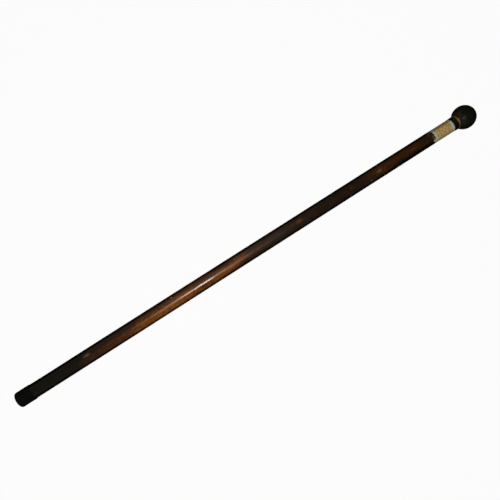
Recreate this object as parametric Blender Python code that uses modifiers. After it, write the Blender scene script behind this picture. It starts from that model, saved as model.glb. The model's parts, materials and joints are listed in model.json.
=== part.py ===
"""Walking cane with a round knob, lying on a floor as it rests when put down.

Blender 4.5, metres, +Z up. The foot points along -X and the knob along +X. The knob is
thicker than the rubber tip, so the cane's axis climbs a little from the tip to the knob.

Every piece is turned round the cane's axis. Each is drawn upright, with its end nearest
the foot at height 0, and an empty that lies along the axis carries it to its station,
the distance from the foot end.
"""
import math

import bpy

MM = 0.001

# Whole cane
CANE_LENGTH = 890.0 * MM
GAP = 0.3 * MM                       # air between two pieces that seat on each other
FIT = 0.3 * MM                       # air round a piece that sits in a bore or a sleeve

# Wooden shaft
SHAFT_DIAMETER = 24.0 * MM           # middle of the stick
FOOT_THINNING = 0.4 * MM             # how much the radius shrinks towards the rubber tip
HEAD_THINNING = 0.15 * MM            # how much it shrinks towards the neck collar
FOOT_TAPER_LENGTH = 165.0 * MM
HEAD_TAPER_LENGTH = 150.0 * MM
SHAFT_EDGE = 0.5 * MM                # rounding of the two shoulders
FOOT_SHOULDER = 2.1 * MM             # step down to the spigot that carries the rubber tip
SPIGOT_CHAMFER = 0.8 * MM

# Rubber tip, with a steel disc on its floor
TIP_WALL = 2.7 * MM
TIP_LENGTH = 24.0 * MM
TIP_FLOOR = 5.5 * MM
TIP_FOOT_EDGE = 2.4 * MM             # rounding of the edge that meets the ground
TIP_MOUTH_EDGE = 0.9 * MM
TREAD_CENTRE_DIAMETER = 7.0 * MM     # plain disc inside the first groove
TREAD_RIM = 2.0 * MM                 # least plain rubber outside the last groove
TREAD_GROOVE_WIDTH = 1.2 * MM
TREAD_GROOVE_PITCH = 3.0 * MM
TREAD_GROOVE_DEPTH = 0.8 * MM
DISC_THICKNESS = 1.5 * MM
DISC_HOLE_DIAMETER = 6.0 * MM

# Paper label wrapped round the shaft, in a shallow recess
LABEL_LENGTH = 41.5 * MM
LABEL_THICKNESS = 0.25 * MM
LABEL_INSET = 0.1 * MM               # how far the paper lies below the wood beside it
LABEL_TO_COLLAR = 1.2 * MM           # strip of bare wood left above the label
LABEL_SEAM = 1.5 * MM                # open slit between the paper's two ends

# Neck collar, and the leather washer under the knob
COLLAR_LENGTH = 8.6 * MM
COLLAR_WALL = 2.0 * MM               # at the collar's foot
COLLAR_STEP = 0.05 * MM              # how far the collar's foot stands out past the wood
COLLAR_FLARE = 0.4 * MM              # how much the radius grows towards the knob
COLLAR_EDGE = 0.6 * MM
LEATHER_THICKNESS = 3.6 * MM
LEATHER_BULGE = 0.1 * MM             # how far the leather stands out past the collar
LEATHER_EDGE = 1.2 * MM

# Ball knob and its threaded insert
KNOB_DIAMETER = 41.7 * MM
SEAT_MARGIN = 0.1 * MM               # how far the ball's flat seat stops inside the collar's edge
INSERT_WALL = 1.7 * MM
INSERT_FLANGE_WIDTH = 2.0 * MM
INSERT_FLANGE_THICKNESS = 1.5 * MM
INSERT_RIBS = 5
INSERT_RIB_DEPTH = 0.5 * MM

# Steel stud, screwed and glued into the shaft
STUD_DIAMETER = 8.0 * MM
STUD_CHAMFER = 0.9 * MM
STUD_IN_WOOD = 38.0 * MM
STUD_END_ROOM = 7.5 * MM             # empty thread left in the insert past the stud's end
THREAD_PITCH = 1.25 * MM
THREAD_TURNS = 10                    # turns that take the knob off the stud

# Fineness of the turned shapes
SMALL_SIDES = 32
LARGE_SIDES = 48                     # the tip and the ball need the same count to rest on flats
EDGE_STEPS = 3
TAPER_STEPS = 6
UPPER_BALL_STEPS = 18
LOWER_BALL_STEPS = 7
MERGE_DISTANCE = 0.001 * MM

# Radii
SHAFT_RADIUS = SHAFT_DIAMETER / 2
SHAFT_FOOT_RADIUS = SHAFT_RADIUS - FOOT_THINNING
SHAFT_HEAD_RADIUS = SHAFT_RADIUS - HEAD_THINNING
FOOT_SPIGOT_RADIUS = SHAFT_FOOT_RADIUS - FOOT_SHOULDER
TIP_BORE_RADIUS = FOOT_SPIGOT_RADIUS + FIT
TIP_RADIUS = TIP_BORE_RADIUS + TIP_WALL
COLLAR_FOOT_RADIUS = SHAFT_HEAD_RADIUS + COLLAR_STEP
COLLAR_HEAD_RADIUS = COLLAR_FOOT_RADIUS + COLLAR_FLARE
COLLAR_BORE_RADIUS = COLLAR_FOOT_RADIUS - COLLAR_WALL
HEAD_SPIGOT_RADIUS = COLLAR_BORE_RADIUS - FIT
LABEL_OUTER_RADIUS = SHAFT_HEAD_RADIUS - LABEL_INSET
LABEL_INNER_RADIUS = LABEL_OUTER_RADIUS - LABEL_THICKNESS
RECESS_RADIUS = LABEL_INNER_RADIUS - FIT
LEATHER_RADIUS = COLLAR_HEAD_RADIUS + LEATHER_BULGE
KNOB_RADIUS = KNOB_DIAMETER / 2
KNOB_SEAT_RADIUS = COLLAR_HEAD_RADIUS - SEAT_MARGIN
STUD_RADIUS = STUD_DIAMETER / 2
STUD_BORE_RADIUS = STUD_RADIUS + FIT
INSERT_RADIUS = STUD_BORE_RADIUS + INSERT_WALL
INSERT_FLANGE_RADIUS = INSERT_RADIUS + INSERT_FLANGE_WIDTH

# Stations, measured along the axis from the foot end
DISC_STATION = TIP_FLOOR + GAP
SHAFT_STATION = DISC_STATION + DISC_THICKNESS + GAP
FOOT_SHOULDER_STATION = TIP_LENGTH + GAP
KNOB_CENTRE_STATION = CANE_LENGTH - KNOB_RADIUS
KNOB_SEAT_TO_CENTRE = math.sqrt(KNOB_RADIUS ** 2 - KNOB_SEAT_RADIUS ** 2)
KNOB_STATION = KNOB_CENTRE_STATION - KNOB_SEAT_TO_CENTRE
LEATHER_STATION = KNOB_STATION - GAP - LEATHER_THICKNESS
SHAFT_HEAD_STATION = LEATHER_STATION - GAP
COLLAR_STATION = SHAFT_HEAD_STATION - COLLAR_LENGTH
HEAD_SHOULDER_STATION = COLLAR_STATION - GAP
LABEL_STATION = HEAD_SHOULDER_STATION - LABEL_TO_COLLAR - LABEL_LENGTH
STUD_STATION = SHAFT_HEAD_STATION - STUD_IN_WOOD
THREAD_REACH = THREAD_TURNS * THREAD_PITCH
STUD_LENGTH = KNOB_STATION + THREAD_REACH - STUD_STATION
INSERT_LENGTH = THREAD_REACH + STUD_END_ROOM

# Colours as they look in the photograph, red, green and blue from 0 to 255
WOOD_BROWN = (74, 44, 22)
EBONY_BLACK = (20, 19, 15)
COLLAR_BLACK = (14, 12, 10)
LEATHER_TAN = (101, 77, 56)
PAPER_OCHRE = (152, 126, 78)
RUBBER_BLACK = (17, 17, 16)
STEEL_GREY = (150, 150, 152)
BRASS_YELLOW = (176, 140, 72)

for old_object in list(bpy.data.objects):
    bpy.data.objects.remove(old_object, do_unlink=True)

cane_parts = bpy.data.collections.new("Walking cane")
bpy.context.scene.collection.children.link(cane_parts)


# Materials

def linear(value):
    """One 0 to 255 screen value as the linear value that a shader takes."""
    share = value / 255.0
    if share <= 0.04045:
        return share / 12.92
    return ((share + 0.055) / 1.055) ** 2.4


def material(name, colour, roughness, metallic=0.0):
    made = bpy.data.materials.new(name)
    made.use_nodes = True
    shader = made.node_tree.nodes["Principled BSDF"]
    shader.inputs["Base Color"].default_value = [linear(value) for value in colour] + [1.0]
    shader.inputs["Roughness"].default_value = roughness
    shader.inputs["Metallic"].default_value = metallic
    made.diffuse_color = shader.inputs["Base Color"].default_value
    return made


# Outlines, as (radius, height) points that run down the outer side, top to bottom

def arc(centre_radius, centre_height, radius, start, end, steps):
    """Points on an arc. Angles are in degrees from straight outwards, rising to the top."""
    points = []
    for step in range(steps + 1):
        angle = math.radians(start + (end - start) * step / steps)
        points.append((centre_radius + radius * math.cos(angle),
                       centre_height + radius * math.sin(angle)))
    return points


def upper_edge(outer_radius, height, rounding):
    """A rounded outer corner at the top of a piece."""
    return arc(outer_radius - rounding, height - rounding, rounding, 90, 0, EDGE_STEPS)


def lower_edge(outer_radius, height, rounding):
    """A rounded outer corner at the bottom of a piece."""
    return arc(outer_radius - rounding, height + rounding, rounding, 0, -90, EDGE_STEPS)


def taper(end_radius, start, end):
    """A smooth run from the stick's full radius at start to its end radius at end."""
    points = []
    for step in range(TAPER_STEPS + 1):
        share = step / TAPER_STEPS
        thinning = (SHAFT_RADIUS - end_radius) * (1 - math.cos(share * math.pi / 2))
        points.append((SHAFT_RADIUS - thinning, start + (end - start) * share))
    return points


# Pieces

def turned(name, outline, finish, carrier, station, sides, closed=False):
    """A piece turned from its outline. A closed outline makes a ring.

    Half a side's turn points the middle of one flat side at the floor.
    """
    mesh = bpy.data.meshes.new(name)
    edges = [(index, index + 1) for index in range(len(outline) - 1)]
    if closed:
        edges.append((len(outline) - 1, 0))
    mesh.from_pydata([(radius, 0.0, height) for radius, height in outline], edges, [])
    piece = bpy.data.objects.new(name, mesh)
    cane_parts.objects.link(piece)
    add_screw(piece, 2 * math.pi, sides, closes=True)
    place(piece, finish, carrier, station, math.pi / sides)


def add_screw(piece, angle, sides, closes):
    """Turn a piece's outline round its own upright axis."""
    screw = piece.modifiers.new("Turn", "SCREW")
    screw.axis = "Z"
    screw.angle = angle
    screw.steps = sides
    screw.render_steps = sides
    screw.use_merge_vertices = closes
    screw.merge_threshold = MERGE_DISTANCE
    screw.use_smooth_shade = True


def place(piece, finish, carrier, station, turn):
    """Give a piece its material, and its station and turn on the empty that carries it."""
    piece.data.materials.append(finish)
    piece.parent = carrier
    piece.location = (0.0, 0.0, station)
    piece.rotation_euler = (0.0, 0.0, turn)


def empty(name, carrier=None):
    made = bpy.data.objects.new(name, None)
    made.empty_display_size = 0.05
    made.parent = carrier
    cane_parts.objects.link(made)
    return made


def make_shaft(carrier):
    """The stick: a spigot at each end, a bore for the stud and a recess for the label."""
    top = SHAFT_HEAD_STATION - SHAFT_STATION
    head_shoulder = HEAD_SHOULDER_STATION - SHAFT_STATION
    foot_shoulder = FOOT_SHOULDER_STATION - SHAFT_STATION
    recess_top = LABEL_STATION + LABEL_LENGTH + GAP - SHAFT_STATION
    recess_bottom = LABEL_STATION - GAP - SHAFT_STATION
    bore_bottom = STUD_STATION - GAP - SHAFT_STATION

    outline = [(0.0, bore_bottom), (STUD_BORE_RADIUS, bore_bottom)]
    outline += [(STUD_BORE_RADIUS, top), (HEAD_SPIGOT_RADIUS - SPIGOT_CHAMFER, top)]
    outline += [(HEAD_SPIGOT_RADIUS, top - SPIGOT_CHAMFER), (HEAD_SPIGOT_RADIUS, head_shoulder)]
    outline += upper_edge(SHAFT_HEAD_RADIUS, head_shoulder, SHAFT_EDGE)
    outline += [(SHAFT_HEAD_RADIUS, recess_top), (RECESS_RADIUS, recess_top)]
    outline += [(RECESS_RADIUS, recess_bottom)]
    outline += reversed(taper(SHAFT_HEAD_RADIUS, recess_bottom - HEAD_TAPER_LENGTH, recess_bottom))
    outline += taper(SHAFT_FOOT_RADIUS, foot_shoulder + FOOT_TAPER_LENGTH,
                     foot_shoulder + SHAFT_EDGE)
    outline += lower_edge(SHAFT_FOOT_RADIUS, foot_shoulder, SHAFT_EDGE)[1:]
    outline += [(FOOT_SPIGOT_RADIUS, foot_shoulder), (FOOT_SPIGOT_RADIUS, SPIGOT_CHAMFER)]
    outline += [(FOOT_SPIGOT_RADIUS - SPIGOT_CHAMFER, 0.0), (0.0, 0.0)]
    wood = material("Stained hardwood", WOOD_BROWN, 0.35)
    turned("shaft", outline, wood, carrier, SHAFT_STATION, LARGE_SIDES)


def make_rubber_tip(carrier):
    """A slip-on cup with rings cut into the face that meets the ground."""
    outline = [(0.0, TIP_FLOOR), (TIP_BORE_RADIUS, TIP_FLOOR), (TIP_BORE_RADIUS, TIP_LENGTH)]
    outline += upper_edge(TIP_RADIUS, TIP_LENGTH, TIP_MOUTH_EDGE)
    outline += lower_edge(TIP_RADIUS, 0.0, TIP_FOOT_EDGE)
    first_groove = TREAD_CENTRE_DIAMETER / 2
    last_groove = TIP_RADIUS - TIP_FOOT_EDGE - TREAD_RIM - TREAD_GROOVE_WIDTH
    spaces = math.floor((last_groove - first_groove) / TREAD_GROOVE_PITCH)
    for groove in reversed(range(spaces + 1)):
        inner = first_groove + groove * TREAD_GROOVE_PITCH
        outer = inner + TREAD_GROOVE_WIDTH
        outline += [(outer, 0.0), (outer, TREAD_GROOVE_DEPTH)]
        outline += [(inner, TREAD_GROOVE_DEPTH), (inner, 0.0)]
    outline += [(0.0, 0.0)]
    rubber = material("Black rubber", RUBBER_BLACK, 0.8)
    turned("rubber_tip", outline, rubber, carrier, 0.0, LARGE_SIDES)


def make_tip_disc(carrier):
    """The steel disc that keeps the shaft's end from cutting through the rubber."""
    disc_radius = TIP_BORE_RADIUS - FIT
    hole_radius = DISC_HOLE_DIAMETER / 2
    outline = [(disc_radius, DISC_THICKNESS), (disc_radius, 0.0)]
    outline += [(hole_radius, 0.0), (hole_radius, DISC_THICKNESS)]
    steel = material("Disc steel", STEEL_GREY, 0.4, 1.0)
    turned("tip_disc", outline, steel, carrier, DISC_STATION, SMALL_SIDES, closed=True)


def make_paper_label(carrier):
    """A strip of paper bent round the stick. Its slit faces the floor."""
    mesh = bpy.data.meshes.new("paper_label")
    mesh.from_pydata([(LABEL_INNER_RADIUS, 0.0, LABEL_LENGTH), (LABEL_INNER_RADIUS, 0.0, 0.0)],
                     [(0, 1)], [])
    label = bpy.data.objects.new("paper_label", mesh)
    cane_parts.objects.link(label)
    seam_angle = LABEL_SEAM / LABEL_OUTER_RADIUS
    add_screw(label, 2 * math.pi - seam_angle, LARGE_SIDES, closes=False)
    paper = label.modifiers.new("Paper", "SOLIDIFY")
    paper.thickness = LABEL_THICKNESS
    paper.offset = 1.0
    ink_and_paper = material("Printed paper", PAPER_OCHRE, 0.6)
    place(label, ink_and_paper, carrier, LABEL_STATION, seam_angle / 2)


def make_neck_collar(carrier):
    """A black sleeve on the head spigot, a little wider towards the knob."""
    outline = upper_edge(COLLAR_HEAD_RADIUS, COLLAR_LENGTH, COLLAR_EDGE)
    outline += lower_edge(COLLAR_FOOT_RADIUS, 0.0, COLLAR_EDGE)
    outline += [(COLLAR_BORE_RADIUS, 0.0), (COLLAR_BORE_RADIUS, COLLAR_LENGTH)]
    horn = material("Collar black", COLLAR_BLACK, 0.3)
    turned("neck_collar", outline, horn, carrier, COLLAR_STATION, LARGE_SIDES, closed=True)


def make_neck_washer(carrier):
    """A loose leather washer on the stud, squeezed between the collar and the knob."""
    outline = upper_edge(LEATHER_RADIUS, LEATHER_THICKNESS, LEATHER_EDGE)
    outline += lower_edge(LEATHER_RADIUS, 0.0, LEATHER_EDGE)
    outline += [(STUD_BORE_RADIUS, 0.0), (STUD_BORE_RADIUS, LEATHER_THICKNESS)]
    leather = material("Tan leather", LEATHER_TAN, 0.6)
    turned("neck_washer", outline, leather, carrier, LEATHER_STATION, LARGE_SIDES, closed=True)


def make_knob(carrier):
    """The ball, with a flat seat and a stepped bore for the insert and its flange."""
    seat_angle = -math.degrees(math.asin(KNOB_SEAT_TO_CENTRE / KNOB_RADIUS))
    flange_radius = INSERT_FLANGE_RADIUS + FIT
    flange_depth = INSERT_FLANGE_THICKNESS + GAP
    bore_radius = INSERT_RADIUS + FIT
    bore_depth = INSERT_LENGTH + GAP
    outline = arc(0.0, KNOB_SEAT_TO_CENTRE, KNOB_RADIUS, 90, 0, UPPER_BALL_STEPS)
    outline += arc(0.0, KNOB_SEAT_TO_CENTRE, KNOB_RADIUS, 0, seat_angle, LOWER_BALL_STEPS)[1:]
    outline += [(flange_radius, 0.0), (flange_radius, flange_depth)]
    outline += [(bore_radius, flange_depth), (bore_radius, bore_depth), (0.0, bore_depth)]
    ebony = material("Ebonised wood", EBONY_BLACK, 0.35)
    turned("knob", outline, ebony, carrier, KNOB_STATION, LARGE_SIDES)


def make_knob_insert(carrier):
    """The threaded brass bush in the knob. Ribs round its outside grip the wood."""
    valley_radius = INSERT_RADIUS - INSERT_RIB_DEPTH
    rib_pitch = (INSERT_LENGTH - INSERT_FLANGE_THICKNESS) / INSERT_RIBS
    outline = []
    for rib in reversed(range(INSERT_RIBS)):
        rib_bottom = INSERT_FLANGE_THICKNESS + rib * rib_pitch
        outline += [(valley_radius, rib_bottom + rib_pitch), (INSERT_RADIUS, rib_bottom)]
    outline += [(INSERT_FLANGE_RADIUS, INSERT_FLANGE_THICKNESS), (INSERT_FLANGE_RADIUS, 0.0)]
    outline += [(STUD_BORE_RADIUS, 0.0), (STUD_BORE_RADIUS, INSERT_LENGTH)]
    brass = material("Insert brass", BRASS_YELLOW, 0.35, 1.0)
    turned("knob_insert", outline, brass, carrier, KNOB_STATION, SMALL_SIDES, closed=True)


def make_knob_stud(carrier):
    """The steel stud. Plain rounds stand for its two threads."""
    chamfered_radius = STUD_RADIUS - STUD_CHAMFER
    outline = [(0.0, STUD_LENGTH), (chamfered_radius, STUD_LENGTH)]
    outline += [(STUD_RADIUS, STUD_LENGTH - STUD_CHAMFER), (STUD_RADIUS, STUD_CHAMFER)]
    outline += [(chamfered_radius, 0.0), (0.0, 0.0)]
    steel = material("Stud steel", STEEL_GREY, 0.3, 1.0)
    turned("knob_stud", outline, steel, carrier, STUD_STATION, SMALL_SIDES)


# Rest on the floor

def lay_down(axis_empty):
    """Turn the upright axis to +X and let the tip's edge and the ball touch the floor.

    Both touch it with the middle of a flat side. The cane's middle is over the origin.
    """
    flat_share = math.cos(math.pi / LARGE_SIDES)
    ball_height = KNOB_RADIUS * flat_share
    tip_height = TIP_RADIUS * flat_share
    pitch = math.atan2(ball_height - tip_height, KNOB_CENTRE_STATION - TIP_FOOT_EDGE)
    foot_end = -(TIP_RADIUS - TIP_FOOT_EDGE) * flat_share * math.sin(pitch)
    knob_end = CANE_LENGTH * math.cos(pitch)
    axis_empty.rotation_euler = (0.0, math.pi / 2 - pitch, 0.0)
    axis_empty.location = (-(foot_end + knob_end) / 2, 0.0,
                           tip_height * math.cos(pitch) - TIP_FOOT_EDGE * math.sin(pitch))


cane_axis = empty("cane axis")
lay_down(cane_axis)
tip_slide = empty("tip slide", cane_axis)
washer_slide = empty("washer slide", cane_axis)
knob_turn = empty("knob turn", washer_slide)

make_shaft(cane_axis)
make_paper_label(cane_axis)
make_neck_collar(cane_axis)
make_knob_stud(cane_axis)
make_rubber_tip(tip_slide)
make_tip_disc(tip_slide)
make_neck_washer(washer_slide)
make_knob(knob_turn)
make_knob_insert(knob_turn)
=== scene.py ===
"""The looks of a walking cane with a ball knob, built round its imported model.

Each piece is modelled upright: its height is its station, the distance from the foot end
of the cane, and its X side is the one that faces the floor. Then it is laid along the axis.
"""

import json
import math
from collections import namedtuple

import bmesh
import bpy
from mathutils import Matrix, Vector, noise


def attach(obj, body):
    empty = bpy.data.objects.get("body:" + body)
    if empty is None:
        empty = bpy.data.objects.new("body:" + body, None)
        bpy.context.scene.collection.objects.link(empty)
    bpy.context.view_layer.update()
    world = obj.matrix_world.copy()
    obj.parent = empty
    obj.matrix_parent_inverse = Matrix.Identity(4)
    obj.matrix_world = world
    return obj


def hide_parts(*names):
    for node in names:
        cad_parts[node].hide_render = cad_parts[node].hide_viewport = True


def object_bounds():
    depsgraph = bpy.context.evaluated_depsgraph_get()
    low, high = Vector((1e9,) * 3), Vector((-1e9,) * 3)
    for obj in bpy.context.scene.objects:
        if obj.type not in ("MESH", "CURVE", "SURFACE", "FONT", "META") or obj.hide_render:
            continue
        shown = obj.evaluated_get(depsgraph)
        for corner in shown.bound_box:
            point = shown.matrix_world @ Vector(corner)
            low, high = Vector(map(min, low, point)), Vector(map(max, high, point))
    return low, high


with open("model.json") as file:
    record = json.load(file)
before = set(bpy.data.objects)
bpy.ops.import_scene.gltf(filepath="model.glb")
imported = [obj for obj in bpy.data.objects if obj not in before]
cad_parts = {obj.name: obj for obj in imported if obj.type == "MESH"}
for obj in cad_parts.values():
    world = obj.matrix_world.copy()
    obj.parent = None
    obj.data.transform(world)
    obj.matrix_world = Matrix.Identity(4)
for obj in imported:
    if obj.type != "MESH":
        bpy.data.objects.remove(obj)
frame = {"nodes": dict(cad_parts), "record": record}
cad_low, cad_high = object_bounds()

MM = 0.001
MERGE = 0.0005 * MM
FLAT_SHARE = 0.9975                  # keeps a round piece inside the flat sides of its solid
ROUND_SIDES = 128
SMALL_SIDES = 64
SHARP_ANGLE = math.radians(38)

# Wooden stick
RING_STEP = 2.5 * MM                 # spacing of the rings along the stick
SHOULDER_ROUNDING = 0.5 * MM
SPIGOT_CHAMFER = 0.8 * MM
SPIGOT_FIT = 0.3 * MM
SEAT_GAP = 0.3 * MM
RING_SPARE = 0.1 * MM                # how far past its two shoulders the stick's rings are read
STICK_WAVER = 0.07 * MM              # how far the hand-finished surface strays from round
WAVER_LENGTH = 34.0 * MM
WAVER_RUN = 6.0 * MM                 # length over which the waver sets in at each end
PATCH_DEPTH = 0.15 * MM              # how deep the chipped and rubbed patches are

# Paper label
PAPER_THICKNESS = 0.14 * MM
PAPER_CLEARANCE = 0.03 * MM
PAPER_SLIT = 0.6 * MM
PAPER_EDGE_STRAY = 0.35 * MM         # raggedness of the foot edge
PAPER_HEAD_SHARE = 0.3               # how ragged the head edge is beside the foot edge
PAPER_FOOT_TRIM = 0.9 * MM
PAPER_HEAD_SPARE = 0.6 * MM
PAPER_SLANT = 0.8 * MM               # how far the foot edge runs out of square
FLAP_TURN = math.radians(36)         # the torn flap, measured from the top of the stick
FLAP_WIDTH = math.radians(20)
FLAP_LENGTH = 5.2 * MM
FLAP_LIFT = 0.8 * MM
FLAP_HOLD = 1.5 * MM                 # how far past the foot edge the flap is still loose
FLAP_BLUNTNESS = 0.6                 # 1 is a flap with a rounded end, 0 a square one
PAPER_ACROSS = 140                   # faces round the stick and along it
PAPER_ALONG = 56
PRINT_UNIT = 100.0 * MM              # length that the label's map shows as 1

# Print on the label, in millimetres: a cream field between two ochre borders, all the way
# round, on paper that is bare at both ends
PRINT_MIDDLE = 21.5                  # from the label's foot end
FIELD_REACH = 8.4                    # from the middle of the print to each end of the field
PRINT_REACH = 14.6
RULE_WIDTH = 0.8
PRINT_BLUR = 0.1
LOZENGE_PITCH = 8.4

# Neck collar and leather washer
COLLAR_EDGE = 0.6 * MM
COLLAR_STEP = 0.05 * MM              # how far the collar stands proud of the wood at its foot
LEATHER_LAYERS = 2
LEATHER_GROOVE = 0.12 * MM
LEATHER_EDGE = 0.9 * MM
LEATHER_LIP = 0.3 * MM
LEATHER_WAVER = 0.09 * MM
LEATHER_WAVER_LENGTH = 1.5 * MM
LEATHER_RIM = 0.8                    # where its rim starts, as a share of its radius

# Ball knob
BALL_STEPS = 72
KNOB_WAVER = 0.05 * MM
KNOB_WAVER_LENGTH = 11.0 * MM
KNOB_SKIN = 0.97                     # where its outside starts, as a share of its radius
KNOB_DENTS = 9
DENT_RADIUS = 1.7 * MM
DENT_DEPTH = 0.11 * MM
DENT_TURN = 2.4                      # from each dent to the next, round the ball, in radians
DENT_LOWEST = -0.5                   # height of a dent, as a share of the ball's radius
DENT_SPAN = 1.35
DENT_STEP = 0.618

# Rubber tip
TIP_FOOT_EDGE = 1.9 * MM
TIP_MOUTH_EDGE = 0.9 * MM
TREAD_CENTRE_RADIUS = 3.5 * MM
TREAD_GROOVE_WIDTH = 1.2 * MM
TREAD_GROOVE_PITCH = 3.0 * MM
TREAD_GROOVE_DEPTH = 0.8 * MM
TREAD_GROOVES = 2
TREAD_EDGE = 0.15 * MM
TIP_RING_STEP = 1.5 * MM
TIP_WALL = 0.6 * MM                  # nearer to the bore than this the rubber isn't worn
TIP_WAVER = 0.03 * MM
TIP_WAVER_LENGTH = 3.2 * MM
TIP_WEAR = 0.16 * MM
TIP_WEAR_HEIGHT = 4.0 * MM

# Threads of the stud and of the brass bush
THREAD_DEPTH = 0.62 * MM
THREAD_RINGS = 12                    # rings of mesh for each turn of thread
THREAD_RUNOUT = 1.0 * MM             # length over which the thread fades at each end
THREAD_NEAR = 0.02 * MM              # how near to a wall's radius a point belongs to the wall
STUD_PLAIN = 6.0 * MM                # plain length of the stud under the end of the wood
BUSH_RIBS = 5
BUSH_RIB_DEPTH = 0.5 * MM
BUSH_FLANGE_THICKNESS = 1.5 * MM
BUSH_FLANGE_WIDTH = 2.0 * MM
STUD_CHAMFER = 0.9 * MM
DISC_HOLE_RADIUS = 3.0 * MM
SMALL_EDGE = 0.2 * MM

# Camera, fitted to the outline of the photographed cane
LENS = 33.1                          # millimetres, on a sensor 36 millimetres wide
CAMERA_STATION = 332.0 * MM
CAMERA_DISTANCE = 748.1 * MM
CAMERA_OFFSET = 4.6 * MM             # sideways from the cane's axis
CAMERA_LEAN = math.radians(7.0)      # towards the knob
CAMERA_ROLL = math.radians(32.454)   # the cane climbs to the right by this in the picture

# Light. A level is the brightness of a white card right under the lamp.
Lamp = namedtuple("Lamp", "station height turn size level mirrored")
SOFT_LAMP = Lamp(445.0 * MM, 2.0, 0.0, 0.5, 0.36, False)
CAMERA_LAMP = Lamp(332.0 * MM, 0.75, math.radians(7.0), 0.06, 0.48, True)
LAMP_COLOUR = (1.0, 0.97, 0.92)
SKY_LEVEL = 0.08
BACKDROP_LEVEL = 0.96
HORIZON_TOP = 0.20                   # height on the sky's sphere where the mirrored backdrop
SKY_START = 0.60                     # starts to fade, and where it is gone
FLOOR_SIZE = 8.0
FLOOR_OWN_WHITE = 0.96


# Places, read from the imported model

ground_face = frame["record"]["mounts"][0]
coupling = frame["record"]["behaviour"]["couplings"][0]
foot_end = Vector(ground_face["pos_m"])
axis = -Vector(ground_face["axis"]).normalized()
sideways = Vector((0.0, 1.0, 0.0))
downwards = sideways.cross(axis)
laid = Matrix((downwards, sideways, axis)).transposed().to_4x4()
laid.translation = foot_end
upright = laid.inverted()
thread_pitch = coupling["ratio"] * 2 * math.pi

Place = namedtuple("Place", "foot head radius foot_bore head_bore")


def upright_points(node):
    """A node's points with the cane stood upright on its foot end."""
    return [upright @ vertex.co for vertex in frame["nodes"][node].data.vertices]


def from_axis(point):
    """Distance of an upright point from the cane's axis."""
    return math.hypot(point.x, point.y)


def place_of(node):
    """The stations of a node's two ends, its widest radius, and its bore at each end."""
    points = upright_points(node)
    foot = min(point.z for point in points)
    head = max(point.z for point in points)
    near = 0.05 * MM
    at_foot = [point for point in points if point.z < foot + near]
    at_head = [point for point in points if point.z > head - near]
    return Place(foot, head, max(map(from_axis, points)), min(map(from_axis, at_foot)),
                 min(map(from_axis, at_head)))


def rings_of(node, low, high, least):
    """Station and radius of a node's rings between two stations and outside a radius."""
    rings = {}
    for point in upright_points(node):
        radius = from_axis(point)
        if low < point.z < high and radius > least:
            station = round(point.z, 5)
            rings[station] = max(rings.get(station, 0.0), radius)
    return sorted(rings.items())


shaft = place_of("shaft")
tip = place_of("rubber_tip")
disc = place_of("tip_disc")
label = place_of("paper_label")
collar = place_of("neck_collar")
washer = place_of("neck_washer")
knob = place_of("knob")
bush = place_of("knob_insert")
stud = place_of("knob_stud")
foot_shoulder = tip.head + SEAT_GAP
head_shoulder = collar.foot - SEAT_GAP
stick_rings = rings_of("shaft", foot_shoulder - RING_SPARE, head_shoulder + RING_SPARE,
                       label.radius)


def stick_radius(station):
    """Radius of the wood at a station, between the nearest rings of the solid."""
    radius = stick_rings[-1][1]
    for (low, low_radius), (high, high_radius) in zip(stick_rings, stick_rings[1:]):
        if station <= high:
            share = max(0.0, (station - low) / (high - low))
            radius = low_radius + (high_radius - low_radius) * share
            break
    if label.foot < station < label.head + PAPER_HEAD_SPARE:
        radius = min(radius, label.radius - PAPER_THICKNESS - 2 * PAPER_CLEARANCE)
    return radius * FLAT_SHARE


# Shapes

def arc(centre_radius, centre_station, radius, start, end, steps):
    """Outline points on an arc. Angles are in degrees from straight outwards."""
    points = []
    for step in range(steps + 1):
        angle = math.radians(start + (end - start) * step / steps)
        points.append((centre_radius + radius * math.cos(angle),
                       centre_station + radius * math.sin(angle)))
    return points


def stations(start, end, step):
    """Even stations from start to end, about a step apart."""
    count = max(1, round(abs(end - start) / step))
    return [start + (end - start) * index / count for index in range(count + 1)]


def straight(radius, start, end, step):
    """Outline points that run along the axis at one radius."""
    return [(radius, station) for station in stations(start, end, step)]


def turned(outline, sides=ROUND_SIDES, closed=False):
    """A shape spun from an outline of (radius, station) points."""
    shape = bmesh.new()
    points = [shape.verts.new((radius, 0.0, station)) for radius, station in outline]
    edges = [shape.edges.new(pair) for pair in zip(points, points[1:])]
    if closed:
        edges.append(shape.edges.new((points[-1], points[0])))
    bmesh.ops.spin(shape, geom=points + edges, cent=(0, 0, 0), axis=(0, 0, 1),
                   angle=2 * math.pi, steps=sides, use_merge=True)
    bmesh.ops.remove_doubles(shape, verts=shape.verts, dist=MERGE)
    bmesh.ops.recalc_face_normals(shape, faces=shape.faces)
    return shape


def push_out(vertex, distance):
    """Move a vertex away from the axis."""
    radius = from_axis(vertex.co)
    if radius > MERGE:
        vertex.co.x *= 1 + distance / radius
        vertex.co.y *= 1 + distance / radius


def turn_from_top(point):
    """Angle round the axis from the top of the cane, growing towards its near side."""
    return math.atan2(-point.y, -point.x)


def smooth_share(value, start, end):
    """0 at start and 1 at end, with an eased run between them."""
    share = min(1.0, max(0.0, (value - start) / (end - start)))
    return share * share * (3 - 2 * share)


def put(name, data):
    """Put a new object in the scene."""
    thing = bpy.data.objects.new(name, data)
    bpy.context.scene.collection.objects.link(thing)
    return thing


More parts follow.
